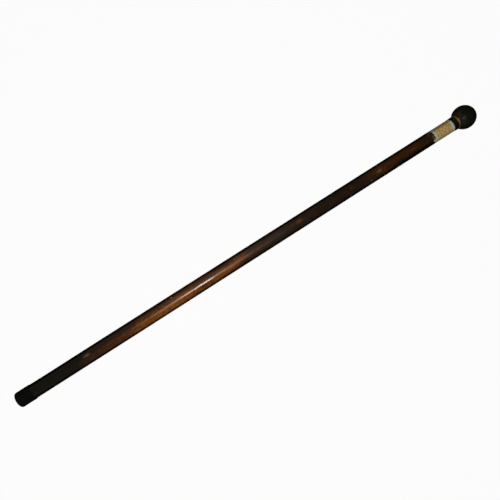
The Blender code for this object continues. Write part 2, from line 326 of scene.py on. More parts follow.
def finish_piece(name, shape, finishes, body, node):
    """Lay a shape along the axis and make it the piece that stands for a node."""
    bmesh.ops.transform(shape, matrix=laid, verts=shape.verts)
    mesh = bpy.data.meshes.new(name)
    shape.to_mesh(mesh)
    shape.free()
    mesh.shade_smooth()
    mesh.set_sharp_from_angle(angle=SHARP_ANGLE)
    for finish in finishes:
        mesh.materials.append(finish.material)
    piece = put(name, mesh)
    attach(piece, body)
    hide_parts(node)
    return piece


# Finishes

def linear(value):
    """One 0 to 255 screen value as the linear value that a shader takes."""
    share = value / 255.0
    if share <= 0.04045:
        return share / 12.92
    return ((share + 0.055) / 1.055) ** 2.4


def colour(red, green, blue):
    """A colour as it shows on a screen, from 0 to 255."""
    return (linear(red), linear(green), linear(blue), 1.0)


def arithmetic(operation, swapped=False):
    """A method of Value that adds one Math node to the same tree."""
    def step(value, other):
        pair = (other, value) if swapped else (value, other)
        return value.nodes.calculate(operation, *pair)
    return step


class Value:
    """An output of a shader node. It takes part in arithmetic as a number does."""

    def __init__(self, nodes, socket):
        self.nodes = nodes
        self.socket = socket

    __add__ = arithmetic("ADD")
    __radd__ = arithmetic("ADD", swapped=True)
    __sub__ = arithmetic("SUBTRACT")
    __rsub__ = arithmetic("SUBTRACT", swapped=True)
    __mul__ = arithmetic("MULTIPLY")
    __rmul__ = arithmetic("MULTIPLY", swapped=True)
    __truediv__ = arithmetic("DIVIDE")
    __pow__ = arithmetic("POWER")


class Nodes:
    """A tree of shader nodes that grows by one node at a time."""

    def __init__(self, tree):
        self.tree = tree

    def add(self, kind, settings=None, inputs=None, output=0):
        """Add a node with its settings, and values or links on its sockets."""
        node = self.tree.nodes.new(kind)
        for setting, value in (settings or {}).items():
            if setting == "stops":
                self.set_stops(node.color_ramp.elements, value)
            else:
                setattr(node, setting, value)
        for socket, value in (inputs or {}).items():
            if isinstance(value, Value):
                self.tree.links.new(value.socket, node.inputs[socket])
            else:
                node.inputs[socket].default_value = value
        return Value(self, node.outputs[output])

    @staticmethod
    def set_stops(elements, stops):
        while len(elements) < len(stops):
            elements.new(1.0)
        for element, (position, tint) in zip(elements, stops):
            element.position = position
            element.color = tint

    def calculate(self, operation, *values):
        """One step of arithmetic on values or numbers."""
        return self.add("ShaderNodeMath", {"operation": operation}, dict(enumerate(values)))

    def saw(self, value, pitch):
        """A wave that runs evenly from 0 to 1 and back over each pitch of the value."""
        return self.calculate("PINGPONG", value / (pitch / 2), 1.0)

    def soft_step(self, value, start, end):
        """0 below start and 1 above end, eased between them."""
        return self.add("ShaderNodeMapRange", {"interpolation_type": "SMOOTHSTEP"}, {
            "Value": value, "From Min": start, "From Max": end})

    def split(self, vector):
        """The three parts of a vector, or of a colour's red, green and blue."""
        return [self.add("ShaderNodeSeparateXYZ", inputs={0: vector}, output=index)
                for index in range(3)]

    def seen(self):
        """1 for the rays that show a background: from the camera, a gloss or a clear piece."""
        return (self.add("ShaderNodeLightPath", output="Is Camera Ray")
                + self.add("ShaderNodeLightPath", output="Is Glossy Ray")
                + self.add("ShaderNodeLightPath", output="Is Transmission Ray"))


class Finish(Nodes):
    """A material whose patterns follow the cane in millimetres."""

    def __init__(self, name, **constants):
        self.material = bpy.data.materials.new(name)
        self.material.use_nodes = True
        super().__init__(self.material.node_tree)
        self.shader = self.tree.nodes["Principled BSDF"]
        for socket, value in constants.items():
            self.shader.inputs[socket.replace("_", " ")].default_value = value

    def feed(self, socket, value):
        """Link a value to a socket of the finish's shader."""
        self.tree.links.new(value.socket, self.shader.inputs[socket])

    def cane_place(self):
        """Millimetres from the foot end: X towards the floor, Y sideways, Z the station."""
        place = self.add("ShaderNodeTexCoord", output="Object")
        return self.add("ShaderNodeMapping", {"vector_type": "TEXTURE"}, {
            "Vector": place, "Location": foot_end, "Rotation": laid.to_euler(),
            "Scale": (MM, MM, MM)})

    def stretched(self, place, across, along):
        """The place with its pattern scaled across the cane and along it."""
        return self.add("ShaderNodeVectorMath", {"operation": "MULTIPLY"},
                        {0: place, 1: (across, across, along)})

    def turn(self, place):
        """Angle round the axis from the top of the cane, growing towards its near side."""
        down, side = self.split(place)[:2]
        return self.calculate("ARCTAN2", 0 - side, 0 - down)

    def towards(self, turn, centre, focus):
        """1 on the side of the cane at one angle, falling to 0 on the other side."""
        return ((self.calculate("COSINE", turn - centre) + 1) * 0.5) ** focus

    def noise(self, place, size, detail=3.0, roughness=0.55, distortion=0.0):
        """Cloudy noise from 0 to 1, with blotches about as wide as size."""
        return self.add("ShaderNodeTexNoise", inputs={
            "Vector": place, "Scale": 1.0 / size, "Detail": detail, "Roughness": roughness,
            "Distortion": distortion})

    def stretched_noise(self, place, size, detail=3.0, roughness=0.55, distortion=0.0):
        """Noise spread out to use the whole range from 0 to 1."""
        return self.soft_step(self.noise(place, size, detail, roughness, distortion), 0.28, 0.72)

    def spot(self, station, arc_place, at_station, at_arc, length, width):
        """1 in the middle of an oval spot on the surface, falling to 0 at its edge."""
        along = (station - at_station) / length
        across = (arc_place - at_arc) / width
        reach = (along * along + across * across) ** 0.5
        return 1 - self.soft_step(reach, 0.3, 1.0)

    def mix(self, first, second, share):
        """One colour at share 0 and the other at share 1."""
        return self.add("ShaderNodeMix", {"data_type": "RGBA"}, {
            0: share, 6: first, 7: second}, output=2)

    def facing_gloss(self, amount):
        """An amount of gloss that dies away where the surface turns from the eye."""
        slant = self.add("ShaderNodeLayerWeight", inputs={"Blend": 0.5}, output=1)
        return amount * (1 - self.soft_step(slant, 0.0, 0.36))

    def emboss(self, *layers):
        """Bumps on the finish, each a height from 0 to 1 and its depth in millimetres."""
        inputs = {}
        for height, depth in layers:
            inputs.update({"Height": height, "Distance": depth * MM})
            inputs["Normal"] = self.add("ShaderNodeBump", inputs=inputs)
        self.feed("Normal", inputs["Normal"])


# How bare the stain is rubbed, by station in millimetres: how much, at which turn from the
# top of the stick most, and how closely round that turn
Rub = namedtuple("Rub", "station level turn focus")
RUBS = (
    Rub(100, 0.02, 0.45, 5.0), Rub(130, 0.12, 0.45, 5.0), Rub(195, 0.26, 0.45, 5.0),
    Rub(215, 0.58, 0.45, 5.0), Rub(270, 0.92, 0.45, 5.5), Rub(302, 0.74, 0.45, 3.8),
    Rub(320, 0.46, 0.52, 3.0), Rub(343, 0.43, 0.52, 3.0), Rub(352, 0.52, 0.45, 4.0),
    Rub(362, 0.74, 0.24, 12.0), Rub(384, 0.78, 0.20, 14.0), Rub(398, 0.64, -0.08, 14.0),
    Rub(409, 0.42, -0.10, 15.0), Rub(420, 0.22, -0.10, 14.0), Rub(438, 0.13, -0.05, 10.0),
    Rub(460, 0.09, 0.00, 6.0), Rub(490, 0.05, 0.00, 4.0), Rub(640, 0.04, -0.10, 3.0),
    Rub(680, 0.17, -0.20, 2.0), Rub(710, 0.13, -0.30, 3.5), Rub(750, 0.12, -0.30, 5.0),
    Rub(775, 0.10, 0.00, 6.0), Rub(800, 0.06, 0.00, 6.0))
MOST_TURN = 1.0                      # turn and focus that the wood's map of wear shows as 1
MOST_FOCUS = 20.0
STATION_SPAN = 900.0
# Colour of the wood, from its dark stain to bare and oiled
STAIN_STOPS = ((0.0, colour(16, 13, 7)), (0.06, colour(42, 26, 12)), (0.22, colour(74, 41, 14)),
               (0.60, colour(108, 62, 23)), (1.0, colour(144, 92, 42)))

# Single marks in the wood, in millimetres from the foot end and round from the top of the
# stick. Each is stained to its tint and a little sunk; the grey one at 377 mm is painted sheen.
Patch = namedtuple("Patch", "station arc length width strength tint")
PATCHES = (
    Patch(122, -2.6, 8.0, 2.8, 0.55, (122, 92, 76)),
    Patch(114, 2.0, 4.0, 3.5, 0.50, (38, 38, 34)),
    Patch(276, -8.6, 1.8, 1.0, 0.85, (176, 150, 128)),
    Patch(330, 4.9, 16.0, 3.0, 0.55, (64, 35, 12)),
    # A painted sheen, sunk like the marks: a grey veil above the rubbed band.
    Patch(377, -5.6, 6.0, 2.8, 0.60, (44, 40, 36)),
    Patch(449, 1.0, 9.0, 5.0, 0.45, (70, 48, 42)),
    Patch(502, -2.5, 7.0, 3.2, 0.35, (92, 46, 32)),
    Patch(516, -1.8, 8.0, 5.0, 0.55, (112, 58, 30)),
    Patch(604, 1.0, 9.0, 6.0, 0.50, (28, 31, 19)),
    Patch(622, -1.0, 6.0, 3.0, 0.25, (90, 50, 26)),
    Patch(660, 6.8, 3.0, 1.6, 0.60, (116, 98, 84)),
    Patch(679, -0.4, 7.0, 4.4, 0.45, (124, 88, 70)),
    Patch(751, -0.5, 11.0, 4.0, 0.32, (104, 50, 30)),
    Patch(788, -6.5, 4.0, 2.6, 0.45, (84, 72, 64)),
    Patch(793, -10.2, 4.0, 3.2, 0.60, (92, 82, 68)),
    Patch(794, 0.8, 4.5, 6.5, 0.80, (84, 74, 38)))


def stained_wood():
    """Dark stained hardwood, rubbed bare and oily in its lower middle."""
    wood = Finish("Stained wood", Specular_IOR_Level=0.0, Coat_IOR=2.0, Coat_Roughness=0.27)
    place = wood.cane_place()
    station = wood.split(place)[2]
    turn = wood.turn(place)
    arc_place = turn * (shaft.radius / MM)

    streaks = wood.stretched_noise(wood.stretched(place, 1.0, 0.05), 1.1, 4.0, 0.62, 0.3)
    bands = wood.stretched_noise(wood.stretched(place, 1.0, 0.03), 4.0, 2.0, 0.5, 0.6)
    mottle = wood.stretched_noise(wood.stretched(place, 1.0, 0.55), 3.6, 3.0, 0.6, 0.4)
    clouds = wood.noise(wood.stretched(place, 1.0, 0.4), 12.0, 3.0, 0.6)
    hues = wood.noise(wood.stretched(place, 1.0, 0.6), 5.0, 2.0, 0.5, 1.0)
    pores = 1 - wood.soft_step(wood.noise(wood.stretched(place, 1.0, 0.05), 0.30, 1.0, 0.5),
                               0.30, 0.40)

    # Where the stain is rubbed away
    lean = 1.0 - wood.soft_step(station, 250, 350)
    share = (station + (clouds - 0.5) * 30.0 + arc_place * lean) / STATION_SPAN
    wear = wood.add("ShaderNodeValToRGB", {"stops": [
        (rub.station / STATION_SPAN,
         (rub.level, 0.5 + 0.5 * rub.turn / MOST_TURN, rub.focus / MOST_FOCUS, 1.0))
        for rub in RUBS]}, {"Fac": share})
    level, most_worn, closeness = wood.split(wear)
    crest = wood.towards(turn, (most_worn - 0.5) * (2 * MOST_TURN), closeness * MOST_FOCUS)
    near_head = wood.soft_step(station, 440, 700)
    past_middle = wood.soft_step(station, 385, 440)
    from_top = wood.calculate("ABSOLUTE", turn - 0.06)
    underneath = wood.soft_step(from_top, 1.0, 2.0)
    # Painted shade: the sides of the stick, away from its top, are held less rubbed and darker,
    # the near side more so towards the head.
    near_side_shade = wood.soft_step(turn + 0.25 * wood.soft_step(station, 640, 740), 0.60, 1.02)
    far_side_shade = wood.soft_step(0 - turn, 0.60, 1.0)
    rubbed = level * (0.04 + 0.96 * crest) * (1 - 0.62 * near_side_shade)
    rubbed = rubbed * (1 - 0.7 * past_middle * far_side_shade)
    rubbed = rubbed + underneath * (0.09 + 0.33 * level)
    rubbed = rubbed * (0.35 + 0.75 * mottle + 0.55 * bands) * (0.75 + 0.5 * streaks)

    # Its tint, from the stain to the bare wood, with a painted sheen on the top side and a
    # painted halo beside the highlight
    tint = wood.add("ShaderNodeValToRGB", {"stops": STAIN_STOPS}, {"Fac": rubbed})
    dark_hues = wood.mix(colour(26, 27, 18), colour(48, 29, 23),
                         wood.soft_step(hues, 0.35, 0.65))
    half_rubbed = wood.soft_step(rubbed, 0.0, 0.03) * (1 - wood.soft_step(rubbed, 0.03, 0.12))
    half_rubbed = half_rubbed * (0.6 - 0.5 * wood.soft_step(level, 0.2, 0.45))
    tint = wood.mix(tint, dark_hues, half_rubbed)
    warm_hues = wood.mix(colour(118, 54, 20), colour(116, 80, 30),
                         wood.soft_step(hues, 0.4, 0.6))
    tint = wood.mix(tint, warm_hues, wood.soft_step(rubbed, 0.2, 0.6) * 0.4)
    # Painted sheen: a grey veil on the top side of the middle of the stick.
    painted_sheen = wood.soft_step(station, 335, 385) * (1 - wood.soft_step(station, 445, 560))
    painted_sheen = painted_sheen * wood.towards(turn, -0.15, 14.0) * (0.5 + clouds)
    tint = wood.mix(tint, colour(90, 85, 80), painted_sheen * 0.2)
    # Painted highlight: a pale narrow halo along the upper side of the gloss highlight.
    highlight_halo = wood.soft_step(station, 250, 290) * (1 - wood.soft_step(station, 350, 385))
    highlight_halo = highlight_halo * wood.towards(turn, -0.22, 100.0)
    tint = wood.mix(tint, colour(122, 106, 92), highlight_halo * 0.18)

    # Painted shade on the stick's sides and on the foot's sides, the grimed foot and the single
    # marks
    # The edges mask is painted shade on the sides that turn from the lamps, stronger towards the
    # head.
    edges = wood.calculate("MAXIMUM", near_side_shade, far_side_shade * (1.5 - 0.5 * past_middle))
    edges = edges * (1 - wood.soft_step(from_top, 1.05, 1.5))
    tint = wood.mix(tint, colour(5, 5, 3), edges * (0.45 + 0.3 * near_head))

    foot_mask = 1 - wood.soft_step(station + (mottle - 0.5) * 12.0 + arc_place * 0.5, 101, 112)
    grime = wood.noise(place, 1.6, 4.0, 0.7)
    foot_tint = wood.mix(colour(18, 16, 9), colour(28, 25, 15), grime)
    # Painted shade on the sides of the dark foot.
    foot_side_shade = wood.soft_step(from_top, 0.45, 1.05)
    foot_tint = wood.mix(foot_tint, colour(8, 6, 4), foot_side_shade * 0.85)
    tint = wood.mix(tint, foot_tint, foot_mask)
    for patch in PATCHES:
        spot = wood.spot(station + (mottle - 0.5) * 2.5, arc_place + (hues - 0.5) * 3.0,
                         patch.station, patch.arc, patch.length, patch.width)
        tint = wood.mix(tint, colour(*patch.tint), spot * patch.strength)
    tint = wood.mix(tint, colour(10, 7, 5), pores * 0.5)

    # Unstained wood under the tip and the collar
    covered = (1 - wood.soft_step(station, foot_shoulder / MM - 0.1, foot_shoulder / MM)
               + wood.soft_step(station, head_shoulder / MM, head_shoulder / MM + 0.1))
    raw_wood = wood.mix(colour(84, 60, 36), colour(124, 92, 56), streaks)
    tint = wood.mix(tint, raw_wood, covered * (1 - pores * 0.4))
    wood.feed("Base Color", tint)

    # The polish, shiny below the middle and dull above it, and the open grain
    polish = wood.noise(wood.stretched(place, 1.0, 0.08), 2.4, 3.0, 0.5)
    strayed = station + (clouds - 0.5) * 8.0
    dulled = wood.soft_step(strayed, 338, 358)
    shined = wood.soft_step(strayed, 312, 326) * (1 - dulled) * wood.towards(turn, 0.07, 8.0)
    gloss = (0.8 + 0.4 * polish) * (1 + 0.7 * shined - 0.6 * dulled)
    gloss = wood.facing_gloss(gloss * (1 - 0.45 * wood.soft_step(from_top, 1.05, 1.7)))
    wood.feed("Roughness", 0.27 + 0.1 * (polish - 0.5) + 0.15 * foot_mask + 0.06 * dulled)
    wood.feed("Metallic", gloss * 0.10)
    wood.feed("Coat Weight", gloss * 0.22)
    grain = wood.noise(wood.stretched(place, 1.0, 0.012), 0.45, 2.0, 0.5)
    wood.emboss((1 - pores, 0.006), (grain, 0.04))
    return wood


def black_polish():
    """Worn black polish on the ball, with the brown wood showing near the neck."""
    polish = Finish("Black polish", Specular_IOR_Level=0.0, Coat_IOR=1.8, Coat_Roughness=0.34)
    place = polish.cane_place()
    station = polish.split(place)[2]
    turn = polish.turn(place)
    specks = polish.noise(place, 0.9, 3.0, 0.7)
    clouds = polish.noise(place, 4.0, 3.0, 0.6)
    tint = polish.mix(colour(12, 13, 8), colour(25, 26, 18), clouds)
    tint = polish.mix(tint, colour(44, 46, 38), polish.soft_step(specks, 0.60, 0.74) * 0.4)
    neck = 1 - polish.soft_step(station + (clouds - 0.5) * 9.0, knob.foot / MM + 1.5,
                                knob.foot / MM + 8.5)
    worn = neck * (0.12 + 0.88 * polish.towards(turn, -0.70, 6.0))
    browned = worn * polish.soft_step(clouds, 0.35, 0.6)
    tint = polish.mix(tint, colour(74, 38, 26), browned * 0.6)
    polish.feed("Base Color", tint)
    polish.feed("Roughness", 0.5 + 0.2 * (clouds - 0.5) + 0.12 * worn)
    polish.feed("Coat Weight", polish.facing_gloss(0.09 + 0.06 * clouds - 0.05 * worn))
    scratches = polish.noise(polish.stretched(place, 1.0, 6.0), 2.2, 5.0, 0.75)
    polish.emboss((specks, 0.03), (scratches, 0.03))
    return polish


def collar_black():
    """The same black polish on the collar, with brown at its rubbed edge and a painted greenish
    highlight on its upper side.
    """
    black = Finish("Collar black", Specular_IOR_Level=0.0, Coat_IOR=1.8, Coat_Roughness=0.34)
    place = black.cane_place()
    station = black.split(place)[2]
    turn = black.turn(place)
    clouds = black.noise(place, 2.4, 4.0, 0.65)
    edge = black.soft_step(station + (clouds - 0.5) * 1.6, collar.head / MM - 1.8,
                           collar.head / MM - 0.2)
    tint = black.mix(colour(10, 9, 5), colour(22, 21, 12), clouds)
    # Painted highlight: a greenish-grey sheen on the collar's upper side.
    fade_and_highlight = black.towards(turn, -0.6, 14.0) * black.soft_step(clouds, 0.35, 0.6)
    tint = black.mix(tint, colour(40, 42, 30), fade_and_highlight * 0.6)
    tint = black.mix(tint, colour(58, 40, 16), edge * 0.7)
    black.feed("Base Color", tint)
    black.feed("Roughness", 0.5 + 0.2 * (clouds - 0.5))
    black.feed("Coat Weight", black.facing_gloss(0.06 + 0.06 * clouds))
    rings = black.noise(black.stretched(place, 0.04, 1.0), 0.35, 2.0, 0.6)
    black.emboss((rings, 0.02))
    return black


def leather_edge():
    """The cut and burnished edge of a tan leather washer, with painted shade round its sides."""
    leather = Finish("Tan leather", Specular_IOR_Level=0.05)
    place = leather.cane_place()
    turn = leather.turn(place)
    fibres = leather.noise(leather.stretched(place, 0.5, 2.2), 0.7, 4.0, 0.7)
    stains = leather.noise(place, 4.0, 3.0, 0.6)
    redder = leather.soft_step(stains, 0.42, 0.56)
    tint = leather.mix(colour(110, 92, 44), colour(150, 112, 86), redder)
    tint = leather.mix(tint, colour(70, 52, 30), leather.soft_step(fibres, 0.45, 0.7) * 0.6)
    # Painted shade: darker round the sides, away from the top.
    side_shade = 1 - leather.towards(turn, -0.1, 14.0)
    tint = leather.mix(tint, colour(34, 28, 14), side_shade * 0.8)
    leather.feed("Base Color", tint)
    leather.feed("Roughness", 0.5 + 0.25 * (fibres - 0.5))
    leather.emboss((fibres, 0.10))
    return leather


def aged_paper(paper):
    """Tint of the bare paper, yellowed and spotted."""
    place = paper.cane_place()
    fibres = paper.noise(place, 0.5, 3.0, 0.6)
    spots = paper.noise(place, 2.2, 4.0, 0.65)
    tint = paper.mix(colour(164, 168, 146), colour(200, 202, 180), fibres)
    grey_spots = paper.soft_step(spots, 0.55, 0.70)
    yellow_spots = 1 - paper.soft_step(spots, 0.34, 0.44)
    tint = paper.mix(tint, colour(104, 112, 108), grey_spots * 0.5)
    return paper.mix(tint, colour(120, 104, 66), yellow_spots * 0.6)


def plain_paper():
    """The back and the cut edge of the label."""
    paper = Finish("Plain paper", Roughness=0.75)
    paper.feed("Base Color", aged_paper(paper))
    return paper


def printed_paper():
    """Old varnished paper: a cream field of lozenges between two ochre borders."""
    paper = Finish("Printed paper", Specular_IOR_Level=0.05)
    print_place = paper.add("ShaderNodeUVMap", {"uv_map": "print"})
    across, along = paper.split(print_place)[:2]
    across = across * (PRINT_UNIT / MM)
    along = along * (PRINT_UNIT / MM)
    from_middle = paper.calculate("ABSOLUTE", along - PRINT_MIDDLE)

    def within(reach):
        """1 up to a distance from the middle, with an edge as soft as old printing."""
        return 1 - paper.soft_step(from_middle, reach - PRINT_BLUR, reach + PRINT_BLUR)

    field = within(FIELD_REACH)
    printed = within(PRINT_REACH)
    rules = within(FIELD_REACH + RULE_WIDTH) - field + printed - within(PRINT_REACH - RULE_WIDTH)
    lattice = paper.calculate("MAXIMUM", paper.saw(across + from_middle, LOZENGE_PITCH),
                              paper.saw(across - from_middle, LOZENGE_PITCH))
    net = paper.soft_step(lattice, 0.82, 0.90)
    core = 1 - paper.soft_step(lattice, 0.44, 0.52)

    place = paper.cane_place()
    wear_noise = paper.noise(place, 2.0, 5.0, 0.7)
    stains = paper.noise(place, 5.0, 3.0, 0.6)
    bare = aged_paper(paper)
    greener = paper.soft_step(stains, 0.45, 0.65)
    ochre = paper.mix(colour(202, 158, 90), colour(172, 156, 68), greener)
    cream = paper.mix(colour(214, 180, 132), colour(168, 138, 84), wear_noise)
    design = paper.mix(ochre, cream, field)
    design = paper.mix(design, colour(112, 86, 36), net * field * 0.6)
    design = paper.mix(design, ochre, core * field)
    design = paper.mix(design, colour(102, 76, 22), rules * 0.85)
    tint = paper.mix(bare, design, printed * 0.95)
    # Here fade_and_highlight is the paper's faded print.
    fade_and_highlight = paper.soft_step(wear_noise, 0.55, 0.68) * 0.35
    tint = paper.mix(tint, colour(168, 160, 132), fade_and_highlight)
    low_side = paper.soft_step(across, 7.0, 12.0) * (1 - paper.soft_step(across, 14.0, 20.0))
    tint = paper.mix(tint, colour(92, 98, 78), low_side * 0.45)
    tint = paper.mix(tint, colour(88, 70, 38), paper.soft_step(stains, 0.56, 0.70) * 0.45)
    # Painted shade on the label's upper side, where it curves away from the light.
    upper_side_shade = paper.soft_step(0 - across, 4.5, 11.0) * 0.65
    tint = paper.mix(tint, colour(64, 50, 18), upper_side_shade)
    rubbed = 1 - paper.soft_step(along + (wear_noise - 0.5) * 3.0, 0.5, 1.6)
    far_side = 1 - paper.soft_step(across, 5.8, 7.2)
    tint = paper.mix(tint, colour(52, 46, 20), rubbed * far_side * 0.8)
    paper.feed("Base Color", tint)
    paper.feed("Roughness", 0.46 + 0.3 * (wear_noise - 0.5))
    fibres = paper.noise(place, 0.4, 3.0, 0.6)
    paper.emboss((fibres, 0.02), (1 - rubbed, 0.05))
    return paper


def black_rubber():
    """Matt moulded rubber, dusty, with its ground edge scuffed grey."""
    rubber = Finish("Black rubber", Specular_IOR_Level=0.0)
    place = rubber.cane_place()
    station = rubber.split(place)[2]
    dust = rubber.noise(place, 3.4, 5.0, 0.7)
    grit = rubber.noise(place, 0.45, 3.0, 0.7)
    tint = rubber.mix(colour(11, 11, 9), colour(21, 21, 19), dust)
    tint = rubber.mix(tint, colour(44, 44, 42), rubber.soft_step(grit * dust, 0.36, 0.46) * 0.5)
    scuffed = 1 - rubber.soft_step(station + (dust - 0.5) * 3.0, 0.2, 2.2)
    tint = rubber.mix(tint, colour(36, 35, 33), scuffed * 0.5)
    tread = 1 - rubber.soft_step(station, 0.05, 0.40)
    dirt = rubber.mix(colour(58, 55, 49), colour(92, 87, 78), grit)
    tint = rubber.mix(tint, dirt, tread * (0.35 + 0.6 * dust))
    rubber.feed("Base Color", tint)
    rubber.feed("Roughness", 0.72 + 0.2 * (dust - 0.5))
    rubber.emboss((grit, 0.05), (dust, 0.10))
    return rubber


def machined_metal(name, dark, light):
    """Turned metal, with fine tool rings and a dull oily film."""
    metal = Finish(name, Metallic=1.0)
    place = metal.cane_place()
    down, side, station = metal.split(place)
    radius = (down * down + side * side) ** 0.5
    rings_place = metal.add("ShaderNodeCombineXYZ", inputs={0: radius, 1: station})
    rings = metal.noise(rings_place, 0.16, 2.0, 0.6)
    film = metal.noise(place, 2.5, 4.0, 0.65)
    metal.feed("Base Color", metal.mix(dark, light, film))
    metal.feed("Roughness", 0.30 + 0.18 * (film - 0.5) + 0.10 * (rings - 0.5))
    metal.emboss((rings, 0.02))
    return metal


# Pieces

def make_stick():
    """The wooden stick, slightly out of true as a hand-finished one is."""
    tip_spigot = tip.head_bore - SPIGOT_FIT
    head_spigot = collar.foot_bore - SPIGOT_FIT
    bore_end = stud.foot - SEAT_GAP
    foot_radius = stick_radius(foot_shoulder)
    head_radius = stick_radius(head_shoulder)
    outline = [(0.0, bore_end), (shaft.head_bore, bore_end), (shaft.head_bore, shaft.head)]
    outline += [(head_spigot - SPIGOT_CHAMFER, shaft.head),
                (head_spigot, shaft.head - SPIGOT_CHAMFER), (head_spigot, head_shoulder)]
    outline += arc(head_radius - SHOULDER_ROUNDING, head_shoulder - SHOULDER_ROUNDING,
                   SHOULDER_ROUNDING, 90, 0, 4)
    outline += [(stick_radius(station), station)
                for station in stations(head_shoulder - 2 * SHOULDER_ROUNDING,
                                        foot_shoulder + 2 * SHOULDER_ROUNDING, RING_STEP)]
    outline += arc(foot_radius - SHOULDER_ROUNDING, foot_shoulder + SHOULDER_ROUNDING,
                   SHOULDER_ROUNDING, 0, -90, 4)
    outline += [(tip_spigot, foot_shoulder), (tip_spigot, shaft.foot + SPIGOT_CHAMFER),
                (tip_spigot - SPIGOT_CHAMFER, shaft.foot), (0.0, shaft.foot)]
    shape = turned(outline)
    for vertex in shape.verts:
        free = smooth_share(vertex.co.z, foot_shoulder, foot_shoulder + WAVER_RUN)
        free *= 1 - smooth_share(vertex.co.z, label.foot - 2 * WAVER_RUN,
                                 label.foot - WAVER_RUN)
        stray = noise.noise(vertex.co / WAVER_LENGTH) * STICK_WAVER
        for patch in PATCHES:
            along = (vertex.co.z / MM - patch.station) / patch.length
            across = (turn_from_top(vertex.co) * shaft.radius / MM - patch.arc) / patch.width
            stray -= PATCH_DEPTH * patch.strength * max(0.0, 1 - along * along - across * across)
        push_out(vertex, stray * free)
    return finish_piece("wooden_stick", shape, [stained_wood()], "stick", "shaft")


def make_paper_wrap():
    """The label: one strip of paper round the stick, ragged, with a flap torn loose."""
    shape = bmesh.new()
    bmesh.ops.create_grid(shape, x_segments=PAPER_ACROSS, y_segments=PAPER_ALONG, size=0.5)
    print_map = shape.loops.layers.uv.new("print")
    slit = PAPER_SLIT / stick_radius(label.foot)

    def ragged(turn, waves, row):
        """How far a cut edge strays at a turn, from one row of the noise."""
        return noise.noise(Vector((turn * waves, row, 0.0))) * PAPER_EDGE_STRAY

    for vertex in shape.verts:
        turn = vertex.co.x * (2 * math.pi - slit)
        share = vertex.co.y + 0.5
        flap = max(0.0, 1 - ((turn - FLAP_TURN) / FLAP_WIDTH) ** 2)
        foot_edge = label.foot + PAPER_FOOT_TRIM + ragged(turn, 2.6, 4.0)
        foot_edge -= PAPER_SLANT * math.sin(turn) * 0.5 + FLAP_LENGTH * flap ** FLAP_BLUNTNESS
        head_edge = label.head + PAPER_HEAD_SPARE + ragged(turn, 2.2, 9.0) * PAPER_HEAD_SHARE
        station = foot_edge + (head_edge - foot_edge) * share
        lift = FLAP_LIFT * flap * (1 - smooth_share(station, label.foot - FLAP_LENGTH,
                                                    label.foot + FLAP_HOLD))
        radius = stick_radius(station) + PAPER_CLEARANCE + lift
        vertex.co = Vector((-radius * math.cos(turn), -radius * math.sin(turn), station))
    for face in shape.faces:
        for loop in face.loops:
            point = loop.vert.co
            arc_length = turn_from_top(point) * label.radius
            loop[print_map].uv = (arc_length / PRINT_UNIT, (point.z - label.foot) / PRINT_UNIT)
    bmesh.ops.recalc_face_normals(shape, faces=shape.faces)
    piece = finish_piece("paper_wrap", shape, [printed_paper(), plain_paper()],
                         "stick", "paper_label")
    wall = piece.modifiers.new("Paper thickness", "SOLIDIFY")
    wall.thickness = PAPER_THICKNESS
    wall.offset = 1.0
    wall.material_offset = 1
    wall.material_offset_rim = 1
    return piece


def make_black_collar():
    """The turned collar, level with the wood at its foot and wider at its head."""
    radius = collar.radius * FLAT_SHARE
    foot_radius = stick_radius(head_shoulder) + COLLAR_STEP
    outline = arc(radius - COLLAR_EDGE, collar.head - COLLAR_EDGE, COLLAR_EDGE, 90, 0, 5)
    outline += arc(foot_radius - COLLAR_EDGE, collar.foot + COLLAR_EDGE, COLLAR_EDGE, 0, -90, 5)
    outline += [(collar.foot_bore, collar.foot), (collar.foot_bore, collar.head)]
    return finish_piece("black_collar", turned(outline, closed=True), [collar_black()],
                        "stick", "neck_collar")


def make_leather_ring():
    """The washer, cut from two thin layers of leather."""
    radius = washer.radius * FLAT_SHARE
    layer = (washer.head - washer.foot) / LEATHER_LAYERS
    outline = []
    for index in reversed(range(LEATHER_LAYERS)):
        low = washer.foot + index * layer
        outline += arc(radius - LEATHER_EDGE, low + layer - LEATHER_EDGE, LEATHER_EDGE, 70, 0, 4)
        outline += arc(radius - LEATHER_EDGE, low + LEATHER_EDGE, LEATHER_EDGE, 0, -70, 4)
        if index:
            outline.append((outline[-1][0] - LEATHER_GROOVE, low))
    outline.insert(0, (outline[0][0] - LEATHER_LIP, washer.head))
    outline.append((outline[-1][0] - LEATHER_LIP, washer.foot))
    outline += [(washer.foot_bore, washer.foot), (washer.foot_bore, washer.head)]
    shape = turned(outline, closed=True)
    for vertex in shape.verts:
        if from_axis(vertex.co) > washer.radius * LEATHER_RIM:
            stray = noise.noise(vertex.co / LEATHER_WAVER_LENGTH)
            push_out(vertex, (stray - 1) * 0.5 * LEATHER_WAVER)
    return finish_piece("leather_ring", shape, [leather_edge()], "washer",
                        "neck_washer")


